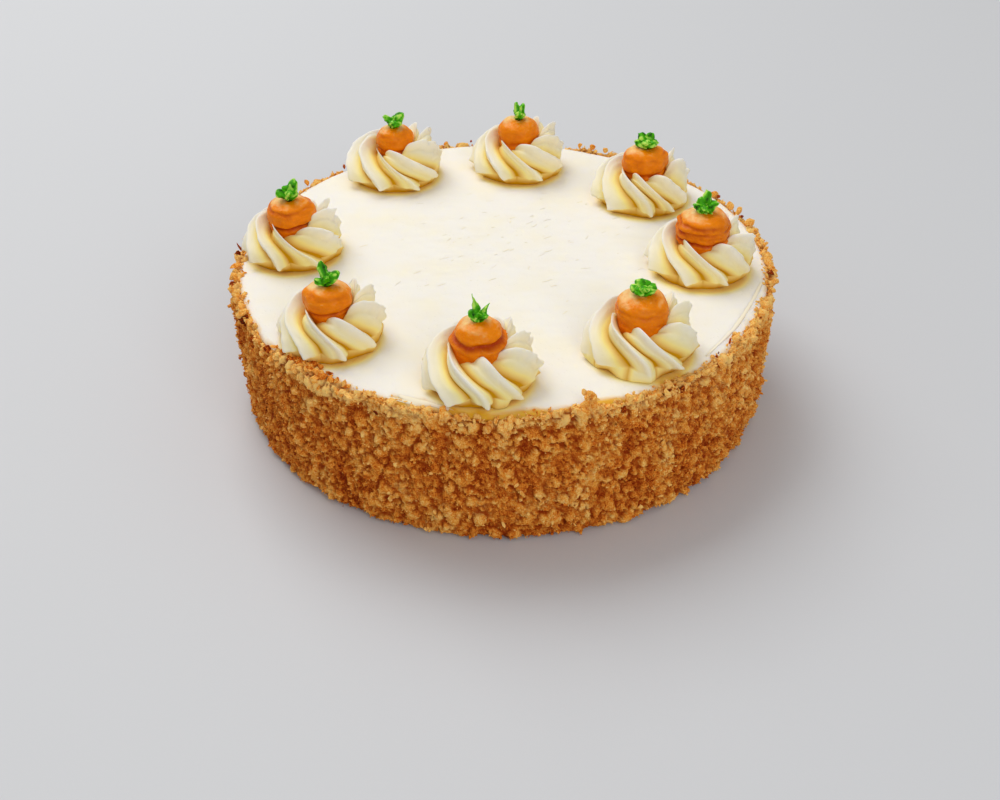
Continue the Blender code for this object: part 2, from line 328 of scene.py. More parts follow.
class Unevenness:
    """Smooth three-dimensional noise from -1 to 1, the same each run."""

    def __init__(self, seed):
        self.side = 32
        self.table = np.random.default_rng(seed).uniform(-1, 1, (self.side,) * 3)

    def __call__(self, points, size, octaves=1, gain=0.5):
        """Noise whose bumps are about size wide, with finer ones added for each octave."""
        total, share, weight = 0.0, 1.0, 0.0
        for octave in range(octaves):
            at = np.asarray(points) / size * 2**octave + 7.3 * octave
            cell = np.floor(at).astype(int)
            t = at - cell
            t = t * t * (3 - 2 * t)
            value = 0.0
            for corner in range(8):
                step = np.array([corner & 1, corner >> 1 & 1, corner >> 2 & 1])
                i, j, k = np.moveaxis((cell + step) % self.side, -1, 0)
                value = value + self.table[i, j, k] * np.prod(np.where(step, t, 1 - t), -1)
            total = total + share * value
            weight += share
            share *= gain
        return total / weight * 1.6


def spline(knots, samples):
    """A smooth line through the knots, as an array of points spaced evenly along it."""
    knots = np.asarray(knots, float)
    padded = np.vstack([2 * knots[0] - knots[1], knots, 2 * knots[-1] - knots[-2]])
    line = []
    for a, b, c, d in zip(padded, padded[1:], padded[2:], padded[3:]):
        for t in np.linspace(0, 1, 24, endpoint=False):
            line.append(
                0.5 * (2 * b + (c - a) * t + (2 * a - 5 * b + 4 * c - d) * t**2
                       + (3 * b - a - 3 * c + d) * t**3)
            )
    line = np.array([*line, knots[-1]])
    run = np.concatenate([[0], np.cumsum(np.linalg.norm(np.diff(line, axis=0), axis=1))])
    want = np.linspace(0, run[-1], samples)
    return np.stack([np.interp(want, run, line[:, k]) for k in range(line.shape[1])], 1)


def add_piece(name, points, faces, look, slot, node=None, flat=False, **fields):
    """Make a mesh piece from points in millimetres and let it stand for its CAD node."""
    mesh = bpy.data.meshes.new(name)
    mesh.from_pydata((np.asarray(points) * MM).tolist(), [], faces)
    for field, values in fields.items():
        values = np.asarray(values, np.float32)
        mesh.attributes.new(field, "FLOAT", "POINT").data.foreach_set("value", values)
    mesh.materials.append(look)
    if flat:
        mesh.shade_flat()
    else:
        mesh.shade_smooth()
    piece = bpy.data.objects.new(name, mesh)
    bpy.context.scene.collection.objects.link(piece)
    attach(piece, "root")
    if node:
        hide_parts(node)


def turned_faces(rows, columns, first=0):
    """Faces of a closed body: a pole, rings of columns points each, and a pole at the far end."""
    ring = [first + 1 + r * columns for r in range(rows)]
    end = first + 1 + rows * columns
    turn = [(c, (c + 1) % columns) for c in range(columns)]
    faces = []
    for c, n in turn:
        faces.append((first, ring[0] + c, ring[0] + n))
        faces.append((end, ring[-1] + n, ring[-1] + c))
    for a, b in zip(ring, ring[1:]):
        faces += [(a + c, b + c, b + n, a + n) for c, n in turn]
    return faces


def with_poles(rings, top, bottom):
    """The points of a closed body in the order that turned_faces expects."""
    return np.vstack([np.reshape(top, (1, -1)), rings.reshape(-1, 3), np.reshape(bottom, (1, -1))])


def add_node(tree, kind, inputs=(), stops=(), out=0, **settings):
    """Add a shader node, set its settings, fill or link its inputs, and give its output."""
    made = tree.nodes.new("ShaderNode" + kind)
    for name, value in settings.items():
        setattr(made, name, value)
    for position, colour in stops:
        ramp = made.color_ramp.elements
        stop = ramp.new(position) if 0 < position < 1 else ramp[0 if position == 0 else -1]
        stop.color = (*colour, 1)
    for socket, value in (inputs if isinstance(inputs, dict) else dict(enumerate(inputs))).items():
        if isinstance(value, bpy.types.NodeSocket):
            tree.links.new(value, made.inputs[socket])
        else:
            made.inputs[socket].default_value = value
    return made.outputs[out] if made.outputs else None


def new_look(name, *fields):
    """A new material, a function that adds a node to it, its coordinates and the mesh's fields."""
    look = bpy.data.materials.new(name)
    look.use_nodes = True
    look.node_tree.nodes.clear()
    node = partial(add_node, look.node_tree)
    read = (node("Attribute", attribute_name=field, out="Fac") for field in fields)
    return look, node, node("TexCoord", out="Object"), *read


# Looks


def nut_look(name, settings, relief):
    """Chopped, toasted walnut: dry matt flesh from pale to deep brown, with painted shade in its
    hollows.
    """
    look, node, place, hollow, tone = new_look(name, "hollow", "tone")
    # flecks of flesh and toasting 1.2 mm across, and specks of skin and flesh 0.4 mm across
    fleck = node("TexNoise", {"Vector": place, "Scale": 830})
    speck = node("TexNoise", {"Vector": place, "Scale": 2300})
    shift = node("MapRange", (fleck, 0.3, 0.7, -0.13, 0.13))
    shift = node("Math", (shift, node("MapRange", (speck, 0.34, 0.66, -0.17, 0.17))))
    mixed = node("Math", (tone, shift), use_clamp=True)
    stops = (
        (0, settings.pale), (0.26, settings.golden), (0.5, settings.toasted),
        (0.76, settings.brown), (1, settings.skin),
    )
    flesh = node("ValToRGB", (mixed,), stops)
    brown = (*settings.brown, 1)
    # painted shade: the flesh is mixed toward brown as far down in the hollows as the point lies
    shade = node("Mix", {0: hollow, 6: flesh, 7: brown}, data_type="RGBA", out=2)
    # the broken surface of a cut nut, 0.5 mm grain drawn at 0.6 mm so that it shows
    grit = node("TexNoise", {"Vector": place, "Scale": 1650, "Detail": 3})
    rough = node("Bump", {"Height": grit, "Strength": relief, "Distance": 0.0007})
    shader = node(
        "BsdfPrincipled",
        {"Base Color": shade, "Roughness": 0.8, "IOR": 1.46, "Specular IOR Level": 0.12,
         "Normal": rough, "Subsurface Weight": 0.1, "Subsurface Radius": (1, 0.45, 0.12),
         "Subsurface Scale": 0.001},
    )
    node("OutputMaterial", (shader,))
    return look


def frosting_look(name, settings, streak, glow=0.9, reach=1.0):
    """Whipped cream-cheese frosting: satin, ivory, glowing a little, with painted buttery shade in
    its hollows.
    """
    look, node, place, hollow, oily_and_shaded = new_look(name, "hollow", "tone")
    # faint clouds in the mix, 20 mm across
    cloud = node("TexNoise", {"Vector": place, "Scale": 50})
    tint = node("MapRange", (cloud, 0.3, 0.7, -0.03, 0.05))
    depth = node("Math", (hollow, tint), use_clamp=True)
    # painted shade: ivory on open faces, cream on the sides of ridges and buttery yellow deep in
    # grooves and hollows
    stops = (
        (0, settings.ivory), (0.38, settings.cream), (0.85, settings.butter_shade), (1, settings.butter_shade)
    )
    plain = node("ValToRGB", (depth,), stops)
    # frosting that has drawn oil from the nuts, and painted shade on the front shoulder
    soaked_and_shaded = (*settings.soaked_and_shaded, 1)
    colour = node("Mix", {0: oily_and_shaded, 6: plain, 7: soaked_and_shaded}, data_type="RGBA", out=2)
    # air pits about 0.7 mm across, and the drag of the knife or nozzle
    pit = node("MapRange", (node("TexVoronoi", {"Vector": place, "Scale": 420}), 0, 0.24))
    drag = node("TexNoise", {"Vector": place, "Scale": 260, "Detail": 4})
    height = node("Math", (drag, streak, pit), operation="MULTIPLY_ADD")
    relief = node("Bump", {"Height": height, "Strength": 0.35, "Distance": 0.0003})
    shader = node(
        "BsdfPrincipled",
        {"Base Color": colour, "Roughness": node("MapRange", (drag, 0.3, 0.7, 0.42, 0.56)),
         "IOR": 1.45, "Specular IOR Level": 0.1, "Normal": relief, "Subsurface Weight": glow,
         "Subsurface Radius": (1, 0.98, 0.72), "Subsurface Scale": settings.glow * reach},
    )
    node("OutputMaterial", (shader,))
    return look


def tinted_look(name, pale, lit, deep, streaks):
    """Coloured buttercream, piped: satin with small drag marks, with painted shade in its folds and
    painted highlights where pale.
    """
    look, node, place, hollow = new_look(name, "hollow")
    # patches of thicker and thinner tint, 3 mm across
    patch = node("TexNoise", {"Vector": place, "Scale": 330, "Detail": 3})
    tint = node("MapRange", (patch, 0.3, 0.7, -0.07, 0.07))
    depth = node("Math", (hollow, tint), use_clamp=True)
    # painted light: pale for painted highlights, lit for open faces, deep for painted shade in
    # folds
    colour = node("ValToRGB", (depth,), ((0, pale), (0.3, lit), (1, deep)))
    drag = node("TexNoise", {"Vector": place, "Scale": streaks, "Detail": 3})
    relief = node("Bump", {"Height": drag, "Strength": 0.7, "Distance": 0.0006})
    shader = node(
        "BsdfPrincipled",
        {"Base Color": colour, "Roughness": node("MapRange", (patch, 0.3, 0.7, 0.3, 0.48)),
         "IOR": 1.47, "Normal": relief, "Specular IOR Level": 0.05, "Coat Weight": 0.24,
         "Coat Roughness": 0.2, "Coat Normal": relief, "Subsurface Weight": 0.25,
         "Subsurface Radius": (1, 0.5, 0.2), "Subsurface Scale": 0.0012},
    )
    node("OutputMaterial", (shader,))
    return look


# The nut coat

SIDE_COLUMNS, SIDE_ROWS = 1020, 88
# Where frosting runs over the coat's edge: bearing, half width and how far the edge dips
RIM_LOBES = (
    (-91, 4, 2.2), (-146, 5, 2), (-127, 4, 1), (-98, 4, 0.6), (40, 16, 0.6), (150, 14, 0.4),
    (90, 75, 0.5),
)
# The distance from the cake's axis at which the unevenness round the rim is read
RIM_READING = 117


def rim_dip(bearing):
    """How far the coat's edge dips below its usual height at a bearing, where frosting shows."""
    return sum(dip * bump(degrees_from(bearing, at), width) for at, width, dip in RIM_LOBES)


def box_blur(field, reach):
    """The mean over a square window, wrapping round the cake."""
    padded = np.pad(field, ((reach, reach), (0, 0)), "edge")
    padded = np.pad(padded, ((0, 0), (reach, reach)), "wrap")
    total = np.pad(padded.cumsum(0).cumsum(1), ((1, 0), (1, 0)))
    w = 2 * reach + 1
    return (total[w:, w:] - total[:-w, w:] - total[w:, :-w] + total[:-w, :-w]) / w**2


def coat_surface(settings):
    """The coat on its grid: points, outward directions, how deep in the hollows each lies, which
    sets its painted shade, and how proud, which sets its painted highlight.
    """
    rng = np.random.default_rng(11)
    uneven = Unevenness(12)
    foot, rim = CAKE_RADIUS - 3.4, CAKE_RADIUS - 1.5
    outline = spline(
        ((foot - 2.4, 0), (foot - 0.6, 1.2), (foot, 3.6), (foot + 0.3, 8), (foot + 0.6, 16),
         ((foot + rim) / 2, 28), (rim - 0.4, 40), (rim - 0.1, 49), (rim, 55), (rim - 0.1, 59),
         (rim - 0.8, 61), (rim - 2.2, 61.7), (rim - 3.9, 61.2), (rim - 5.2, 60), (rim - 5.8, 57)),
        SIDE_ROWS,
    )
    slope = np.gradient(outline, axis=0)
    outward = unit(np.stack([slope[:, 1], -slope[:, 0]], 1))
    turn = bearings(SIDE_COLUMNS) - math.pi
    ring = polar(RIM_READING, turn, 0)
    r, z = turned(outline, SIDE_COLUMNS)
    # in places the frosting runs out over the nuts, mostly at the right and the back
    bare = smooth(uneven(ring + 300, 8, 2) + 0.5 * smooth(np.cos(turn - 0.9), 0, 0.9), 0, 0.7)
    r = np.where(z > 59, np.maximum(r, r + 0.5 * bare * (rim - 0.8 - r)), r)
    z = z - (rim_dip(turn) + 0.9 * uneven(ring, 6, 2)) * smooth(z, 44, 60)
    base = polar(r, turn, z)
    out = polar(outward[:, :1], turn, outward[:, 1:])
    # bits of nut pressed into the coat, each a tilted, flat-topped lump
    cell_u = TAU * rim / SIDE_COLUMNS
    cell_v = np.linalg.norm(np.diff(outline, axis=0), axis=1).mean()
    height = np.zeros((SIDE_ROWS, SIDE_COLUMNS))
    deep, clump, chip = (
        size / MM for size in (settings.clump_depth, settings.clump_width, settings.chip_width)
    )
    for width, count, tall in ((clump, 620, 1.0), (0.6 * clump, 2200, 0.85), (chip, 9000, 0.55)):
        for _ in range(count):
            u, v = rng.uniform(0, SIDE_COLUMNS), rng.uniform(-2, SIDE_ROWS + 1)
            a = width * rng.uniform(0.55, 1.2) / 2
            b = a * rng.uniform(0.55, 1.0)
            spin, tilt = rng.uniform(0, TAU), rng.normal(0, 0.25, 2)
            lift = tall * rng.uniform(0.35, 1.0)
            reach_u, reach_v = int(a / cell_u) + 2, int(a / cell_v) + 2
            ju = np.arange(int(u) - reach_u, int(u) + reach_u + 1)
            jv = np.arange(max(0, int(v) - reach_v), min(SIDE_ROWS, int(v) + reach_v + 1))
            if not len(jv):
                continue
            x, y = np.meshgrid((ju - u) * cell_u, (jv - v) * cell_v)
            p = (x * math.cos(spin) + y * math.sin(spin)) / a
            q = (-x * math.sin(spin) + y * math.cos(spin)) / b
            edge = (np.abs(p) ** 2.6 + np.abs(q) ** 2.6) ** (1 / 2.6)
            body = lift * np.clip(1 - edge**3, 0, 1) ** 0.45 * (1 + tilt[0] * p + tilt[1] * q)
            spot = np.ix_(jv, ju % SIDE_COLUMNS)
            height[spot] = np.maximum(height[spot], body * deep * 0.8)
    height += 0.3 * deep * uneven(base * (1, 1, 0.4), 8, 2)
    height += 0.42 * uneven(base, 2.2, 3, 0.8)
    height *= smooth(z, 0, 2.2) * 0.8 + 0.2
    surface = base + out * (height - 1.0)[..., None]
    surface[..., 2] = np.maximum(surface[..., 2], 0)
    # how far each point lies below its neighbours, used for painted shade in the hollows
    wide = smooth(box_blur(height, 5) - height, -0.1, 1.2)
    close = smooth(box_blur(height, 2) - height, 0, 0.7)
    return surface, out, np.clip(0.8 * wide + 0.5 * close, 0, 1), height - box_blur(height, 7)


def toasting_and_highlight(points, uneven, proud=0.0):
    """How dark the nuts are from place to place: golden along the top edge, and pale where proud,
    as a painted highlight on raised lumps.
    """
    browner = 0.07 * smooth(-points[..., 0], 40, 110)
    # painted highlight: proud lumps are pushed toward the pale nut colour, as if lit from above
    return (
        0.42 + browner + 0.18 * uneven(points * (1, 1, 0.5), 8, 2) + 0.18 * uneven(points, 1.9, 2)
        - 0.38 * smooth(points[..., 2], 53, 61) - 0.12 * np.clip(proud, -1.2, 1.2)
    )


def shape_of(kind):
    """The points and faces of a unit grain (8 faces), chip (20 faces) or piece (80 faces)."""
    if kind == "grain":
        points = ((1, 0, 0), (0, 1, 0), (-1, 0, 0), (0, -1, 0), (0, 0, 1), (0, 0, -1))
        faces = [((c, (c + 1) % 4, 4), ((c + 1) % 4, c, 5)) for c in range(4)]
        return np.array(points, float), np.reshape(faces, (-1, 3))
    shape = bmesh.new()
    bmesh.ops.create_icosphere(shape, subdivisions=1 if kind == "chip" else 2, radius=1.0)
    points = np.array([v.co for v in shape.verts])
    faces = np.array([[v.index for v in f.verts] for f in shape.faces])
    shape.free()
    return points, faces


def random_turns(rng, count):
    """Random rotation matrices."""
    w, x, y, z = np.moveaxis(rng.normal(size=(count, 4)), -1, 0)
    n = np.sqrt(w * w + x * x + y * y + z * z)
    w, x, y, z = w / n, x / n, y / n, z / n
    return np.stack(
        [1 - 2 * (y * y + z * z), 2 * (x * y - z * w), 2 * (x * z + y * w),
         2 * (x * y + z * w), 1 - 2 * (x * x + z * z), 2 * (y * z - x * w),
         2 * (x * z - y * w), 2 * (y * z + x * w), 1 - 2 * (x * x + y * y)], -1,
    ).reshape(count, 3, 3)


def add_bits(name, kind, look, rng, centres, sizes, tones, deep=0.0, roughness=0.28):
    """Scatter bits of nut at the centres as one joined piece."""
    solid, faces = shape_of(kind)
    count, each = len(centres), len(solid)
    shape = solid * (1 + rng.uniform(-roughness, roughness, (count, each, 1)))
    # flat broken faces, as the chopping leaves them
    for _ in range(5):
        cut = unit(rng.normal(size=(count, 1, 3)))
        over = (shape * cut).sum(-1, keepdims=True) - rng.uniform(0.3, 0.75, (count, 1, 1))
        shape = shape - np.maximum(over, 0) * cut
    stretch = [rng.uniform(*span, count) for span in ((0.75, 1.25), (0.6, 1), (0.42, 0.82))]
    shape = 1.15 * shape * (np.stack(stretch, 1) * sizes[:, None] / 2)[:, None]
    shape = np.einsum("nij,nvj->nvi", random_turns(rng, count), shape) + centres[:, None]
    joined = (faces + (np.arange(count) * each)[:, None, None]).reshape(-1, 3)
    # bits that lie down in the coat's hollows get a share of its painted shade
    add_piece(
        name, shape.reshape(-1, 3), joined.tolist(), look, "nut_crust", flat=True,
        tone=np.repeat(np.clip(tones, 0, 1), each),
        hollow=np.repeat(0.7 * deep + np.zeros(count), each),
    )


RIM_CRUMBS, EDGE_PIECES = 3000, 330


def bits_on_coat(coat, uneven, rng, wanted, width, lift):
    """Bits of nut at random places on the coat, away from its hollows."""
    surface, out, hollow, proud = coat
    v = rng.integers(3, SIDE_ROWS - 4, 3 * wanted)
    u = rng.integers(0, SIDE_COLUMNS, 3 * wanted)
    clear = np.flatnonzero(hollow[v, u] < rng.uniform(0.1, 1.1, 3 * wanted))[:wanted]
    v, u = v[clear], u[clear]
    spots = surface[v, u] + rng.normal(0, 0.15, (len(v), 3))
    sizes = width * rng.uniform(0.6, 1.3, len(v))
    centres = spots + out[v, u] * (sizes * lift)[:, None]
    centres[:, 2] = np.maximum(centres[:, 2], 0.6 * sizes + 0.3)
    tones = toasting_and_highlight(spots, uneven, proud[v, u]) - 0.05 + rng.normal(0, 0.13, len(v))
    # the last value is how far down in the hollows each bit lies, for its painted shade
    return centres, sizes, tones, hollow[v, u]


def rim_crumbs(uneven, rng):
    """Crumbs that climb over the edge onto the frosting, fewer of them at the back."""
    turn = rng.uniform(-math.pi, math.pi, RIM_CRUMBS)
    turn = turn[rng.random(RIM_CRUMBS) < 1 - 0.85 * smooth(np.sin(turn), -0.1, 0.6)]
    count = len(turn)
    inward = np.abs(rng.normal(0, 1.1, count))
    inward = inward * (1 + 0.7 * uneven(polar(RIM_READING, turn, 0), 8, 2))
    reach = FROSTING_RADIUS + 1.0 - np.clip(1.4 * inward, 0, 5)
    climb = TOP - 0.3 - 1.3 * smooth(reach, FROSTING_RADIUS - 3, FROSTING_RADIUS)
    centres = polar(reach, turn, climb - rim_dip(turn))
    sizes = rng.uniform(0.6, 1.9, count)
    return centres, sizes, toasting_and_highlight(centres, uneven) + rng.normal(0, 0.11, count)


def edge_pieces(uneven, rng):
    """Nut pieces along the edge, in short runs, smaller and fewer at the back."""
    turn = rng.uniform(-math.pi, math.pi, EDGE_PIECES)
    runs = uneven(polar(RIM_READING, turn, 0), 11, 1)
    turn = turn[runs - 0.75 * smooth(np.sin(turn), -0.1, 0.6) > -0.2]
    count, back = len(turn), np.sin(turn)
    rise = rng.uniform(-2.6, 1.6, count)
    reach = FROSTING_RADIUS + rng.uniform(0.4, 2.2, count) - np.clip(rise, 0, 3) * 0.7
    reach = reach - 1.6 * smooth(back, 0.0, 0.4)
    centres = polar(reach, turn, TOP - 1.2 + rise - rim_dip(turn))
    sizes = rng.uniform(2.4, 4.8, count) * (1 - 0.35 * smooth(back, 0.0, 0.7))
    return centres, sizes, rng.normal(0.16, 0.09, count) + (rng.random(count) < 0.12) * 0.6


# Single pieces of nut: bearing, distance from the middle, height above the frosting, size, tone
ODD_PIECES = (
    (-74.6, 114.6, -0.2, 5.5, 0.2), (-73.6, 114.6, 1, 5.5, 0.12), (-74.1, 113.8, 5.8, 1.5, 0.9),
    (-42, 112.5, 0.3, 1.7, 0.95), (-43, 113.2, 0.2, 1.3, 0.8), (-33.9, 110.9, 0.5, 2.6, 0.1),
    (-34.8, 112.6, 0.6, 3.4, 0.16), (-36.6, 111.4, 0.4, 1.8, 0.6), (-35.8, 113.6, 0.9, 3.8, 0.08),
    (-114, 117.6, -4.6, 2, 0.92), (-111.4, 115, 0.2, 4, 0.08), (-117, 114.8, 0.4, 3.6, 0.1),
    (-122, 113.6, 0.8, 4, 0.12), (-123.6, 114.6, 1.4, 3, 0.22), (178.4, 115.8, 0, 3.2, 0.82),
    (176, 116, 0.2, 3, 0.72), (-176, 115.4, 0, 4, 0.3), (-171.5, 115.8, 0.6, 4.4, 0.2),
    (-168.6, 116.2, 0.2, 3, 0.8), (-164, 115.6, 0.5, 4.4, 0.16), (-158.5, 115, 0.6, 4.6, 0.18),
    (-153, 114.8, 0.4, 4.2, 0.14), (143.6, 116.4, 0.6, 3.6, 0.3), (132, 116.2, 0.5, 2.6, 0.6),
    (104.5, 115.6, 0.9, 2.6, 0.3), (98, 115.8, 0.5, 1.6, 0.7), (70.4, 116.2, 0.8, 3.2, 0.2),
    (67.1, 116.4, 0.9, 3.6, 0.35), (63.8, 116.2, 0.7, 3, 0.15), (30, 115, 0.8, 3.4, 0.25),
    (28.4, 115.4, 0.4, 2.4, 0.8), (23.2, 115.2, 0.9, 4.6, 0.14), (20.2, 115.6, 0.9, 4.8, 0.18),
    (18.2, 116, 0.2, 2, 0.8), (14.6, 115.6, 0.8, 4.6, 0.16), (11.2, 116, 0.5, 3.4, 0.22),
    (5, 116.2, 0.4, 3, 0.12), (-2.6, 115, 0.6, 4.8, 0.1), (-4.8, 115.6, 0.4, 3.6, 0.3),
    (-14, 115.8, 0.3, 3.4, 0.14), (-21, 114.6, 0.8, 4.6, 0.1), (-24, 115, 0.6, 4.4, 0.14),
    (-28.5, 114, 0.8, 4.6, 0.12),
)
# How far from the middle the heap stands and the drift begins
RIM_EDGE = 114.6
HEAP_BEARING, HEAP_PIECES = -73.8, 30
DRIFT_BEARING, DRIFT_PIECES = -132, 90


def heap(rng):
    """A clump that stands up on the front edge, in rows like those of ODD_PIECES."""
    rise = np.linspace(0, 1, HEAP_PIECES)
    spread = np.clip(rng.normal(0, 1, HEAP_PIECES), -1.3, 1.3)
    return np.stack([
        HEAP_BEARING + spread * (1.15 - 0.6 * rise),
        RIM_EDGE - 0.8 * rise + rng.normal(0, 0.7, HEAP_PIECES), -0.6 + 6.2 * rise,
        rng.uniform(2.4, 4.2, HEAP_PIECES) * (1.1 - 0.3 * rise),
        rng.uniform(0.0, 0.3, HEAP_PIECES),
    ], 1)


def drift(rng):
    """Pieces that climb over the edge to the foot of the front left swirl, in rows as well."""
    climb = np.abs(rng.normal(0, 2.4, DRIFT_PIECES))
    return np.stack([
        DRIFT_BEARING + rng.normal(0, 4.6, DRIFT_PIECES) * (1 - 0.08 * climb), RIM_EDGE - climb,
        rng.uniform(-0.2, 0.7, DRIFT_PIECES), rng.uniform(1.4, 3.4, DRIFT_PIECES),
        rng.uniform(0.1, 0.62, DRIFT_PIECES),
    ], 1)


def placed_pieces(rows):
    """Where the pieces in the rows lie on the cake, with their sizes and tones."""
    turn, reach, rise, sizes, tones = np.transpose(rows)
    turn = np.radians(turn)
    reach = reach - 1.3 * smooth(np.sin(turn), 0.1, 0.4)
    return polar(reach, turn, TOP + rise), sizes, tones


class CAKE_OT_nut_coat(bpy.types.Operator):
    """Build the cake's coat of chopped nuts as one closed body with real relief"""

    bl_idname = "cake.nut_coat"
    bl_label = "Nut coat"

    def execute(self, context):
        settings = context.scene.nut_coat
        surface, _, hollow, proud = coat_surface(settings)
        inner = surface[-1:].copy()
        inner[..., 2] = FLOOR - 0.3
        rings = np.concatenate([surface, inner])[::-1]
        points = with_poles(rings, (0, 0, FLOOR - 0.3), (0, 0, 0))
        hollow, proud = (
            np.pad(field, ((0, 1), (0, 0)), constant_values=beyond)[::-1]
            for field, beyond in ((hollow, 1), (proud, 0))
        )
        # painted shade: the coat darkens toward brown in its hollows, and its tone carries a
        # painted highlight on proud lumps
        add_piece(
            "nut_coat", points, turned_faces(len(rings), SIDE_COLUMNS),
            nut_look("toasted_walnut_coat", settings, 0.8), "nut_crust", "cake",
            tone=toasting_and_highlight(points, Unevenness(31), capped(0, proud, 0)),
            hollow=0.9 * capped(1, hollow, 1),
        )
        return {"FINISHED"}


class CAKE_OT_loose_nuts(bpy.types.Operator):
    """Scatter ground grains, chopped chips and nut pieces on the coat and along its rim"""

    bl_idname = "cake.loose_nuts"
    bl_label = "Loose nuts"

    def execute(self, context):
        settings = context.scene.nut_coat
        coat = coat_surface(settings)
        uneven = Unevenness(31)
        look = nut_look("toasted_walnut_bits", settings, 0.5)
        for name, kind, wanted, width, lift, seed in (
            ("nut_grains", "grain", settings.grains, settings.grain_width / MM, 0.28, 21),
            ("nut_chips", "chip", settings.chips, settings.chip_width / MM, 0.06, 22),
        ):
            rng = np.random.default_rng(seed)
            bits = bits_on_coat(coat, uneven, rng, wanted, width, lift)
            add_bits(name, kind, look, rng, *bits)
        rng = np.random.default_rng(24)
        add_bits("nut_rim", "chip", look, rng, *rim_crumbs(uneven, rng))
        rng = np.random.default_rng(23)
        along, clump = edge_pieces(uneven, rng), heap(rng)
        rng = np.random.default_rng(25)
        single = placed_pieces([*ODD_PIECES, *clump, *drift(rng)])
        bits = (np.concatenate(pair) for pair in zip(along, single))
        add_bits("nut_pieces", "piece", look, rng, *bits, roughness=0.2)
        return {"FINISHED"}


# The spread frosting

TOP_COLUMNS, TOP_ROWS = 300, 96
# The frosting's own edge, a little inside the CAD node's
EDGE = FROSTING_RADIUS - 0.6


def swirl_centre(topping):
    """Where a swirl stands on the cake."""
    return polar(topping.distance, math.radians(topping.bearing), TOP)


def frosting_outline():
    """The spread frosting's outline from its middle over the shoulder to its floor."""
    return spline(
        (*((r, TOP) for r in (0.8, 30, 60, 85, 99)), (EDGE - 7.5, TOP - 0.05),
         (EDGE - 4, TOP - 0.3), (EDGE - 1.6, TOP - 1), (EDGE - 0.3, TOP - 2.2),
         (EDGE - 0.2, TOP - 3.6), (EDGE - 1.2, FLOOR)),
        TOP_ROWS,
    )


def knife_waves(points):
    """The gentle unevenness that the spreading knife leaves, from -1 to 1."""
    uneven = Unevenness(41)
    return uneven(points, 34, 2) + 0.35 * uneven(points * (1, 2.2, 1), 9, 2)


class CAKE_OT_frosting(bpy.types.Operator):
    """Spread the frosting on top, with its rounded, uneven shoulder"""

    bl_idname = "cake.frosting"
    bl_label = "Spread frosting"

    def execute(self, context):
        settings = context.scene.frosting
        uneven = Unevenness(41)
        turn = bearings(TOP_COLUMNS)
        r, z = turned(frosting_outline(), TOP_COLUMNS)
        spread = smooth(r, 90, 113) * smooth(z, TOP - 4, TOP - 2)
        r = r + (0.5 * uneven(polar(115, turn, 0), 14, 2) + 0.3 * rim_dip(turn)) * spread
        points = polar(r, turn, z)
        points[..., 2] += settings.waviness / MM * smooth(z, TOP - 5, TOP - 1) * knife_waves(points)
        # painted shadow in a buttery yellow round the foot of each swirl, wider and stronger toward
        # the front, away from the key light
        hollow = np.zeros(r.shape)
        for topping in TOPPINGS:
            beside = points - swirl_centre(topping)
            away = np.linalg.norm(beside[..., :2], axis=-1)
            side = beside @ np.array([0.35, -0.94, 0]) / np.maximum(away, 1)
            near = 1 - smooth(away, topping.radius - 5.0, topping.radius - 0.6 + 1.6 * side)
            hollow = np.maximum(hollow, near * (0.50 + 0.15 * side))
        # the frosting turns golden where it meets the nuts and draws their oil, and over a wider
        # band on the front shoulder, facing away from the key light, where the golden is painted
        # shade
        front = smooth(np.cos(turn + math.radians(85)), 0.55, 0.97)
        rim = r + (1.0 + 1.2 * front) * uneven(points, 5, 2)
        tone = (0.40 + 0.55 * front) * smooth(rim, EDGE - 1.9 - 2.4 * front, EDGE - 0.7)
        add_piece(
            "frosting_top", with_poles(points, (0, 0, TOP), (0, 0, FLOOR)),
            turned_faces(TOP_ROWS, TOP_COLUMNS),
            frosting_look("cream_cheese_frosting_spread", settings, 0.5),
            "cream_frosting", "frosting", hollow=capped(0, hollow, 0), tone=capped(0, tone, 0),
        )
        return {"FINISHED"}


# Marks that stand a little proud of the spread frosting. Each: width, height, and the places it
# runs through (bearing and distance from the middle).
CREASES = (
    (1.8, 0.26, ((-44, 109.6), (-37, 108.4), (-29.8, 108.3), (-19.1, 108.9), (-12, 110.6),
                 (-6.2, 113.2))),
    (3.2, 0.6, ((-111, 110), (-106.5, 111.2), (-102, 112.4), (-98.6, 113.6))),
    (2.4, 0.36, ((-113, 112.2), (-108.5, 112.6), (-104, 113.4))),
    (1.4, 0.16, ((8, 108.6), (3, 107.2), (-2, 106.6))),
)
SCUFFS = 80
MARK_ROWS, MARK_COLUMNS = 14, 8


def mark_body(places, width, height):
    """The points of a low, tapering ridge through the places on the frosting."""
    line = spline(places, MARK_ROWS)
    along = np.gradient(line, axis=0)
    side = unit(np.stack([-along[:, 1], along[:, 0]], 1))
    full = np.sin(np.pi * np.linspace(0.06, 0.94, MARK_ROWS))[:, None] ** 0.6
    turn = bearings(MARK_COLUMNS)
    across = 0.5 * width * full * np.cos(turn)
    rise = height * full * np.sin(turn) * np.abs(np.sin(turn))
    flat = line[:, None] + side[:, None] * across[..., None]
    return with_poles(np.dstack([flat, rise]), (*line[0], 0), (*line[-1], 0))


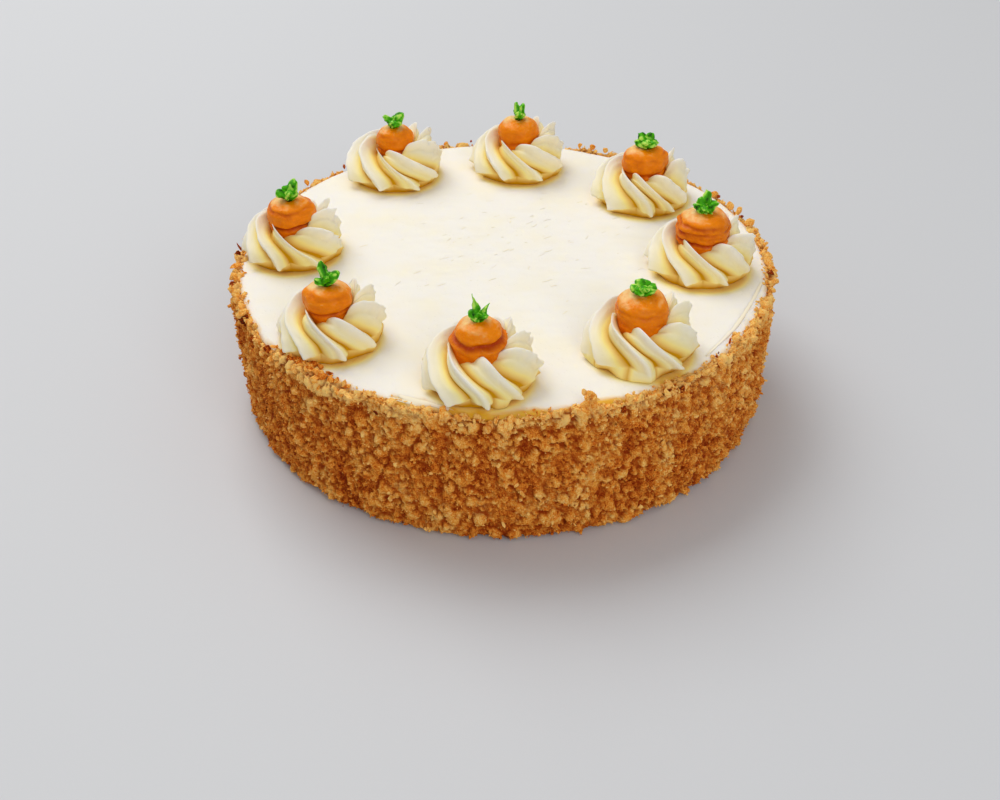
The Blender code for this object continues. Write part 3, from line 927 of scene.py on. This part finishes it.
class CAKE_OT_marks(bpy.types.Operator):
    """Leave the creases and scuffs of the spreading knife in the frosting"""

    bl_idname = "cake.marks"
    bl_label = "Knife marks"

    def execute(self, context):
        settings = context.scene.frosting
        rng = np.random.default_rng(51)
        marks = []
        for width, height, places in CREASES:
            bearing, distance = np.transpose(places)
            marks.append(mark_body(polar(distance, np.radians(bearing), 0)[:, :2], width, height))
        for _ in range(SCUFFS):
            middle = rng.normal((6, 12), (30, 26))
            middle = middle * min(1, 62 / np.hypot(*middle))
            heading = math.radians(rng.normal(38, 16))
            run = rng.uniform(0.5, 2.4) * np.array([math.cos(heading), math.sin(heading)])
            line = middle - run, middle + rng.normal(0, 0.15, 2), middle + run
            marks.append(mark_body(line, rng.uniform(0.25, 0.6), rng.uniform(0.05, 0.15)))
        points = np.concatenate(marks)
        outline = frosting_outline()
        level = np.interp(np.hypot(points[:, 0], points[:, 1]), outline[:, 0], outline[:, 1])
        ground = np.stack([points[:, 0], points[:, 1], level], 1)
        points[:, 2] += level + settings.waviness / MM * knife_waves(ground)
        faces = []
        for first in range(0, len(points), len(marks[0])):
            faces += turned_faces(MARK_ROWS, MARK_COLUMNS, first)
        add_piece(
            "frosting_marks", points, faces,
            frosting_look("cream_cheese_frosting_marks", settings, 0.5, 0.0), "cream_frosting",
            hollow=np.full(len(points), 0.08),
        )
        return {"FINISHED"}


# The piped swirls

COLUMNS_PER_RIDGE, DOME_ROWS, UNDER_ROWS = 22, 56, 9
# Where the groove lies between one crest (0) and the next (1), by bearing
GROOVE_PLACES = (
    (-180, 0.66), (-135, 0.68), (-108, 0.58), (-88, 0.36), (-68, 0.26), (-30, 0.23), (90, 0.23),
    (140, 0.45), (180, 0.66),
)
# How far the ridges wind round at a bearing: the share of each of a topping's four twists
TWIST_PLACES = (
    (-180, 0, 0, 0, 0.84), (-150, 0, 0, 0, 0.93), (-117, 0, 0, 0, 1), (-83, 0, 0, 1, 0),
    (-49, 0, 1, 0, 0), (-8, 1, 0, 0, 0), (29, 1.1, 0, 0, 0), (79, 0, 0, 0, 0.48),
    (113, 0, 0, 0, 0.6), (158, 0, 0, 0, 0.75), (180, 0, 0, 0, 0.84),
)
# How a ridge bends on its way out: above 1 it turns early, below 1 late, by bearing
BEND_PLACES = ((-180, 1), (-115, 1), (-83, 1.3), (-49, 0.72), (-20, 0.9), (10, 1), (180, 1))


def crest_values(values, ridge_share):
    """Blend one value for each ridge smoothly round the swirl."""
    values = np.asarray(values, float)
    index = np.floor(ridge_share).astype(int)
    t = smooth(ridge_share - index)
    return values[index % RIDGES] * (1 - t) + values[(index + 1) % RIDGES] * t


def by_bearing(places, bearing):
    """A value read from places (degrees, value) at a bearing in radians."""
    return np.interp(degrees_from(bearing, 0), *np.transpose(places))


def ridge_profile(away, trough):
    """How deep the surface lies at a share (0 to 1) of the way down from a crest to its groove."""
    rounding = 0.11
    fall = (np.sqrt(rounding**2 + away**2) - rounding) / (math.hypot(rounding, 1) - rounding)
    return fall + trough * bump(away - 0.29, 0.13) * smooth(away, 0, 0.2)


def swirl_columns(topping):
    """For each column of a swirl: its ridge and share of the way to the next, bearing and depth."""
    middles = np.radians(topping.tip + (np.arange(RIDGES) + 0.5) / RIDGES * 360)
    ridge_share, depth = [], []
    for ridge, groove in enumerate(by_bearing(GROOVE_PLACES, middles)):
        steep = max(5, round(COLUMNS_PER_RIDGE * (0.14 + 0.72 * groove)))
        near = np.arange(steep) / steep
        far = np.arange(COLUMNS_PER_RIDGE - steep) / (COLUMNS_PER_RIDGE - steep)
        ridge_share += [*(ridge + groove * near), *(ridge + groove + (1 - groove) * far)]
        depth += [*near, *(1 - far)]
    ridge_share = np.array(ridge_share)
    bearing = math.radians(topping.tip) + ridge_share / RIDGES * TAU
    bearing = bearing + np.radians(crest_values(topping.turns, ridge_share))
    return ridge_share, bearing, np.array(depth)


def swirl_body(topping, number):
    """The points of a swirl about its own centre, and the painted shade of each point."""
    rng = np.random.default_rng(100 + number)
    uneven = Unevenness(200 + number)
    ridge_share, bearing, depth = swirl_columns(topping)
    reach = crest_values(topping.reaches, ridge_share)
    # ridges on the right-hand side end high, thick and blunt, and stand up at the back right
    blunt = smooth(np.cos(bearing - math.radians(25)), 0.25, 0.9)
    plume = smooth(np.cos(bearing - math.radians(58)), 0.35, 0.95)
    scale = np.array([OUTLINE_RADIUS, 1, OUTLINE_TWIST])
    crest, high, groove = (
        spline(line * scale[: line.shape[1]], DOME_ROWS) / scale[: line.shape[1]]
        for line in map(np.array, (CREST_OUTLINE, BLUNT_OUTLINE, GROOVE_OUTLINE))
    )
    along = np.linspace(0, 1, DOME_ROWS)[:, None]
    share = crest[:, :1]
    outer, raised = smooth(share, 0.6, 0.95), smooth(share, 0.40, 0.50)
    near = 1 - smooth(share, 0.48, 0.72)
    left = smooth(-np.cos(bearing - math.radians(15)), 0.0, 0.7)
    depth = ridge_profile(depth[None], 0.19 - 0.11 * left)
    depth = np.clip(depth, 0, 1) ** (1 - 0.38 * near + 0.5 * blunt * outer)
    depth = depth * (1 - 0.35 * plume * (1 - outer))
    crown, low = (crest_values(rng.uniform(-1, 1, RIDGES), ridge_share) for _ in range(2))
    shares, heights = (
        (crest[:, k : k + 1] * (1 - blunt) + high[:, k : k + 1] * blunt) * (1 - depth)
        + groove[:, k : k + 1] * depth
        for k in (0, 1)
    )
    r = topping.radius * shares * (1 - outer + outer * reach) * (1 - 0.07 * plume * outer)
    z = heights + (0.7 * crown * raised + 0.6 * low * outer) * (1 - depth)
    z = z + 4.0 * plume * (1 - 0.6 * depth) * raised * (1 - 0.6 * outer)
    # the ridges wind out from the crown to their tips, further on the left
    twist = by_bearing([(at, np.dot(row, topping.twists)) for at, *row in TWIST_PLACES], bearing)
    lean = 14 * (0.5 - by_bearing(GROOVE_PLACES, bearing)) * (1 - depth) * raised
    bend = by_bearing(BEND_PLACES, bearing)
    turn = bearing + np.radians(lean - twist * np.maximum(crest[:, 2:], 0) ** bend)
    # under the tips the body draws in to its foot
    down = np.linspace(0, 1, UNDER_ROWS + 1)[1:, None]
    last = depth[-1]
    full = np.maximum(blunt, plume)
    lobe = sum(tall * bump(degrees_from(bearing, at), wide, 4) for at, wide, tall in topping.skirt)
    foot = topping.radius * (0.78 + 0.08 * full - (0.02 + 0.11 * full) * last) * (0.5 + 0.5 * reach)
    waist = topping.radius * (0.82 + 0.10 * full - (0.05 + 0.12 * full) * last)
    foot, waist = foot + lobe * topping.radius, waist + 1.3 * lobe * topping.radius
    under_r = (1 - down) ** 2 * r[-1] + 2 * down * (1 - down) * waist + down**2 * foot
    under_z = (1 - down) ** 1.2 * z[-1] - SWIRL_SINK * down
    body = np.concatenate([polar(r, turn, z), polar(under_r, turn[-1], under_z)])
    along = np.concatenate([along, 1 + down])
    depth = np.concatenate([depth, np.repeat(last[None], UNDER_ROWS, 0)])
    # ragged crests where the ridges end blunt, and a soft unevenness everywhere
    rag = np.maximum(full, 0.28 * left) * (1 - depth) ** 2
    rag = rag * smooth(along, 0.35, 0.7) * (along < 1.3)
    out = unit((body - (0, 0, 6)) * (1, 1, 0.8))
    body = body + out * (rag * 1.6 * uneven(body, 2.8, 2, 0.6))[..., None]
    body = body + out * (0.45 * uneven(body, 8, 1) + 0.10 * uneven(body, 2.2, 2))[..., None]
    body[-1, :, 2] = -SWIRL_SINK
    # painted shade: buttery in the grooves, lighter on the left where the key light falls, darker
    # low toward the tips and in the well round the carrot
    hollow = 0.02 + (0.32 - 0.15 * left) * depth
    hollow = hollow + (0.50 + 0.14 * smooth(along, 0.5, 1.0)) * depth**3
    hollow = hollow + (0.10 - 0.05 * left) * smooth(along, 0.7, 1.0)
    hollow = hollow + 0.35 * (1 - smooth(along, 0.30, 0.44))
    # painted shade under the tips, lighter over the low lobes
    under = (0.45 + 0.55 * (along - 1)) * (1 - 0.6 * np.clip(lobe / 0.15, 0, 1))
    return body, np.where(along > 1, np.maximum(depth**3 * 0.7, under), hollow)


class CAKE_OT_swirls(bpy.types.Operator):
    """Pipe the eight swirls: blades of frosting that twist down a dome to their tips"""

    bl_idname = "cake.swirls"
    bl_label = "Piped swirls"

    def execute(self, context):
        settings = context.scene.frosting
        look = frosting_look("cream_cheese_frosting_piped", settings, 0.8, 0.65, 0.7)
        for number, topping in enumerate(TOPPINGS, 1):
            body, hollow = swirl_body(topping, number)
            points = with_poles(body, (0, 0, CREST_OUTLINE[0][1]), (0, 0, -SWIRL_SINK))
            add_piece(
                f"piped_swirl_{number}", points + swirl_centre(topping) + (0, 0, SWIRL_LIFT),
                turned_faces(*hollow.shape), look, "cream_frosting", f"swirl_{number}",
                hollow=capped(0.5, hollow, 1),
            )
        return {"FINISHED"}


# The carrots and leaves

CARROT_COLUMNS, CARROT_ROWS = 108, 54
# A carrot's outline from its foot to its top: shares of its width and height
CARROT_OUTLINE = (
    (0.9, -0.12), (0.95, 0.04), (0.97, 0.2), (1, 0.38), (1, 0.54), (0.95, 0.72), (0.8, 0.87),
    (0.54, 0.97), (0.28, 1), (0.03, 1.01),
)
LEAF_COLUMNS, LEAF_ROWS = 26, 20


class CAKE_OT_carrots(bpy.types.Operator):
    """Pipe a squat, folded carrot into the top of each swirl"""

    bl_idname = "cake.carrots"
    bl_label = "Piped carrots"

    def execute(self, context):
        settings = context.scene.carrots
        look = tinted_look(
            "orange_buttercream_piped", settings.pale, settings.orange, settings.deep, 900
        )
        share, lift = turned(spline(CARROT_OUTLINE, CARROT_ROWS)[::-1], CARROT_COLUMNS)
        turn = bearings(CARROT_COLUMNS)
        full = smooth(share, 0.1, 0.6)
        for number, topping in enumerate(TOPPINGS, 1):
            uneven = Unevenness(300 + number)
            tall = CARROT_HEIGHT_SHARE * topping.carrot
            reach = share * topping.carrot * CARROT_WIDTHS[number - 1]
            # painted highlight: pale where the top catches the light, toward the back left
            shine = smooth(lift, 0.70, 0.98) * (0.60 + 0.40 * np.cos(turn - math.radians(120)))
            # painted shade, darker toward the foot, less where the painted highlight falls
            hollow = 0.40 + 0.15 * (1 - smooth(lift, 0.1, 0.6)) - 0.42 * shine
            rough = 0
            ring = polar(topping.carrot, turn, 0)
            for fold in topping.folds:
                here = fold.depth * (0.75 + 0.5 * uneven(ring + 90 * fold.height, 9, 1))
                wander = 0.03 * uneven(ring + 50 * fold.height, 5, 2)
                centre = fold.height + fold.slant * np.cos(turn - 0.6) + wander
                x = (lift - centre) / fold.width
                deep = bump(x, 1)
                lip = bump(x + 1.9, 1) + 0.5 * bump(x - 1.9, 1)
                reach = reach - full * here * (deep - 0.3 * lip)
                reach = reach - full * fold.step * smooth(x, -0.5, 1.5)
                # painted shade in the fold
                hollow = hollow + 0.7 * deep * np.clip(here / 1.2, 0, 1)
                rough = rough + bump(x + 1.4, 1.2) * min(1.0, fold.depth)
            points = polar(reach, turn, CARROT_BASE + lift * tall)
            out = unit(points - (0, 0, CARROT_BASE + 0.45 * tall))
            smear = 0.16 * uneven(points * (1, 1, 2.6), 3.0, 3, 0.6)
            lips = 0.30 * rough * uneven(points * (1, 1, 1.6), 1.3, 2, 0.7)
            points = points + out * (0.45 * uneven(points, 5, 1) + smear + lips)[..., None]
            # painted highlights on the smears and lips
            hollow = np.clip(hollow - 0.8 * smear - 0.5 * lips, 0, 1)
            ends = (0, 0, CARROT_BASE + 1.01 * tall), (0, 0, CARROT_BASE - 1)
            add_piece(
                f"piped_carrot_{number}",
                with_poles(points, *ends) + swirl_centre(topping) + (0, 0, LEAF_GAP),
                turned_faces(CARROT_ROWS, CARROT_COLUMNS), look, "orange_frosting",
                f"carrot_{number}", hollow=capped(0.2, hollow, 0.6),
            )
        return {"FINISHED"}


def leaf_body(leaf, uneven, seed):
    """A folded, ruffled leaf standing at the origin, and the painted shade of each point."""
    rise = np.linspace(0.03, 0.97, LEAF_ROWS)[::-1, None]
    turn = bearings(LEAF_COLUMNS)
    # width along the leaf: a round lobe or a blade that narrows to a point
    lobe = np.sqrt(np.clip(1 - (2 * rise - 1) ** 2, 0, 1)) ** 0.8 * (0.75 + 0.25 * rise)
    blade = np.sin(np.pi * np.clip(rise * 0.94 + 0.16, 0, 1)) ** 0.8 * (1.05 - rise) ** 0.35
    wide = (1 - leaf.point) * lobe + leaf.point * blade
    # creases along the leaf, as a star nozzle leaves them
    crease = 0.5 - 0.5 * np.cos(4 * turn + 0.9 * seed + 2.2 * rise)
    half = 0.56 * leaf.width * wide * (1 - 0.14 * crease)
    across = half * np.cos(turn)
    fold = 0.55 * np.abs(across) * (0.4 + 0.6 * leaf.point)
    ruffle = leaf.ruffle * 0.16 * leaf.width * np.sin(11 * rise + 2.3 * seed)
    ruffle = ruffle * (np.abs(across) / (0.5 * leaf.width)) ** 1.2
    x = half * np.sin(turn) * 0.7 + fold + ruffle
    x = x - 0.1 * leaf.width + 0.10 * leaf.length * rise**2
    points = np.stack(np.broadcast_arrays(x, across, rise * leaf.length - 1.6), -1)
    lumps = uneven(points + 9.0 * seed, 1.7, 2)
    points = points + (0.2 + 0.5 * leaf.ruffle) * lumps[..., None] * (0.8, 1, 0.6)
    # painted shade: darker in the creases and toward the base, with painted highlights on the lumps
    hollow = 0.26 + 0.34 * crease**2 - 0.55 * lumps + 0.60 * (1 - smooth(rise, 0.0, 0.5))
    # the folded face looks up and out
    return swung(swung(points, leaf.lean, 2, 0), leaf.bearing, 0, 1), hollow


class CAKE_OT_leaves(bpy.types.Operator):
    """Pipe the tuft of green leaves on each carrot"""

    bl_idname = "cake.leaves"
    bl_label = "Piped leaves"

    def execute(self, context):
        settings = context.scene.leaves
        look = tinted_look(
            "green_buttercream_piped", settings.pale, settings.green, settings.dark, 1400
        )
        for number, topping in enumerate(TOPPINGS, 1):
            uneven = Unevenness(400 + number)
            points, faces, hollows = [], [], []
            for seed, leaf in enumerate(topping.leaves):
                body, hollow = leaf_body(leaf, uneven, seed)
                faces += turned_faces(LEAF_ROWS, LEAF_COLUMNS, sum(map(len, points)))
                points.append(with_poles(body, body[0].mean(0), body[-1].mean(0)))
                hollows.append(capped(0.2, np.clip(hollow, 0, 1), 1))
            base = CARROT_BASE + CARROT_HEIGHT_SHARE * topping.carrot + 2 * LEAF_GAP
            add_piece(
                f"piped_leaves_{number}",
                np.concatenate(points) + swirl_centre(topping) + (0, 0, base), faces, look,
                "green_frosting", f"leaves_{number}", hollow=np.concatenate(hollows),
            )
        return {"FINISHED"}


# The stage


def add_light(name, power, size, colour, place):
    """A square soft light that faces the cake's middle. Metres."""
    light = bpy.data.lights.new(name, "AREA")
    light.energy, light.size, light.color = power, size, colour
    placed = bpy.data.objects.new(name, light)
    placed.location = place
    facing = Vector((0, 0, 0.05)) - Vector(place)
    placed.rotation_euler = facing.to_track_quat("-Z", "Y").to_euler()
    bpy.context.scene.collection.objects.link(placed)


class CAKE_OT_stage(bpy.types.Operator):
    """Lay the pale floor and set the soft lights and the camera"""

    bl_idname = "cake.stage"
    bl_label = "Stage"

    def execute(self, context):
        scene = context.scene
        settings = scene.stage
        scene.view_settings.view_transform = "Standard"
        bpy.ops.mesh.primitive_plane_add(size=12, location=(0, 0, 0))
        floor = context.object
        floor.name = "floor"
        # matt paper: no gloss, and a tooth of 1.4 mm
        look, node, place = new_look("matt_paper_floor")
        tooth = node("TexNoise", {"Vector": place, "Scale": 700})
        tooth = node("Bump", {"Height": tooth, "Strength": 0.1, "Distance": 0.0002})
        colour = (*settings.floor, 1)
        paper = {"Base Color": colour, "Roughness": 0.6, "Normal": tooth}
        node("OutputMaterial", (node("BsdfPrincipled", paper),))
        floor.data.materials.append(look)

        add_light("key", settings.key_power, 1.4, (1, 0.985, 0.96), (-0.67, 1.0, 1.68))
        add_light("fill", settings.fill_power, 0.8, (1, 0.99, 0.98), (0.55, -1.22, 0.85))
        scene.world = bpy.data.worlds.new("room")
        scene.world.use_nodes = True
        background = scene.world.node_tree.nodes["Background"].inputs
        background[0].default_value = (*linear("#FFFCF8"), 1)
        background[1].default_value = settings.room

        camera = bpy.data.cameras.new("camera")
        camera.lens, camera.sensor_width, camera.sensor_fit = 49.067, 36.0, "HORIZONTAL"
        camera.clip_start = 0.01
        scene.camera = bpy.data.objects.new("camera", camera)
        scene.camera.location = (-0.0014, -0.515, 0.3606)
        scene.camera.rotation_euler = (math.radians(53.89), 0, 0)
        scene.collection.objects.link(scene.camera)
        return {"FINISHED"}


# Panel and registration


class CAKE_PT_panel(bpy.types.Panel):
    """Lists the steps that build the cake, with their settings"""

    bl_idname = "CAKE_PT_panel"
    bl_label = "Carrot Cake"
    bl_space_type = "VIEW_3D"
    bl_region_type = "UI"
    bl_category = "Carrot Cake"

    def draw(self, context):
        for attribute, group, steps in SECTIONS:
            box = self.layout.box()
            for step in steps:
                box.operator(step.bl_idname)
            for setting in group.__annotations__:
                box.prop(getattr(context.scene, attribute), setting)


SECTIONS = (
    ("nut_coat", NutCoatSettings, (CAKE_OT_nut_coat, CAKE_OT_loose_nuts)),
    ("frosting", FrostingSettings, (CAKE_OT_frosting, CAKE_OT_marks, CAKE_OT_swirls)),
    ("carrots", CarrotSettings, (CAKE_OT_carrots,)),
    ("leaves", LeafSettings, (CAKE_OT_leaves,)),
    ("stage", StageSettings, (CAKE_OT_stage,)),
)


def register():
    for attribute, group, steps in SECTIONS:
        for made in (group, *steps):
            bpy.utils.register_class(made)
        setattr(bpy.types.Scene, attribute, PointerProperty(type=group))
    bpy.utils.register_class(CAKE_PT_panel)


def unregister():
    bpy.utils.unregister_class(CAKE_PT_panel)
    for attribute, group, steps in reversed(SECTIONS):
        delattr(bpy.types.Scene, attribute)
        for made in (*steps, group):
            bpy.utils.unregister_class(made)


def main():
    """Register the add-on and run its steps in order."""
    register()
    for _, _, steps in SECTIONS:
        for step in steps:
            getattr(bpy.ops.cake, step.bl_idname.split(".")[1])()


if __name__ == "__main__":
    main()
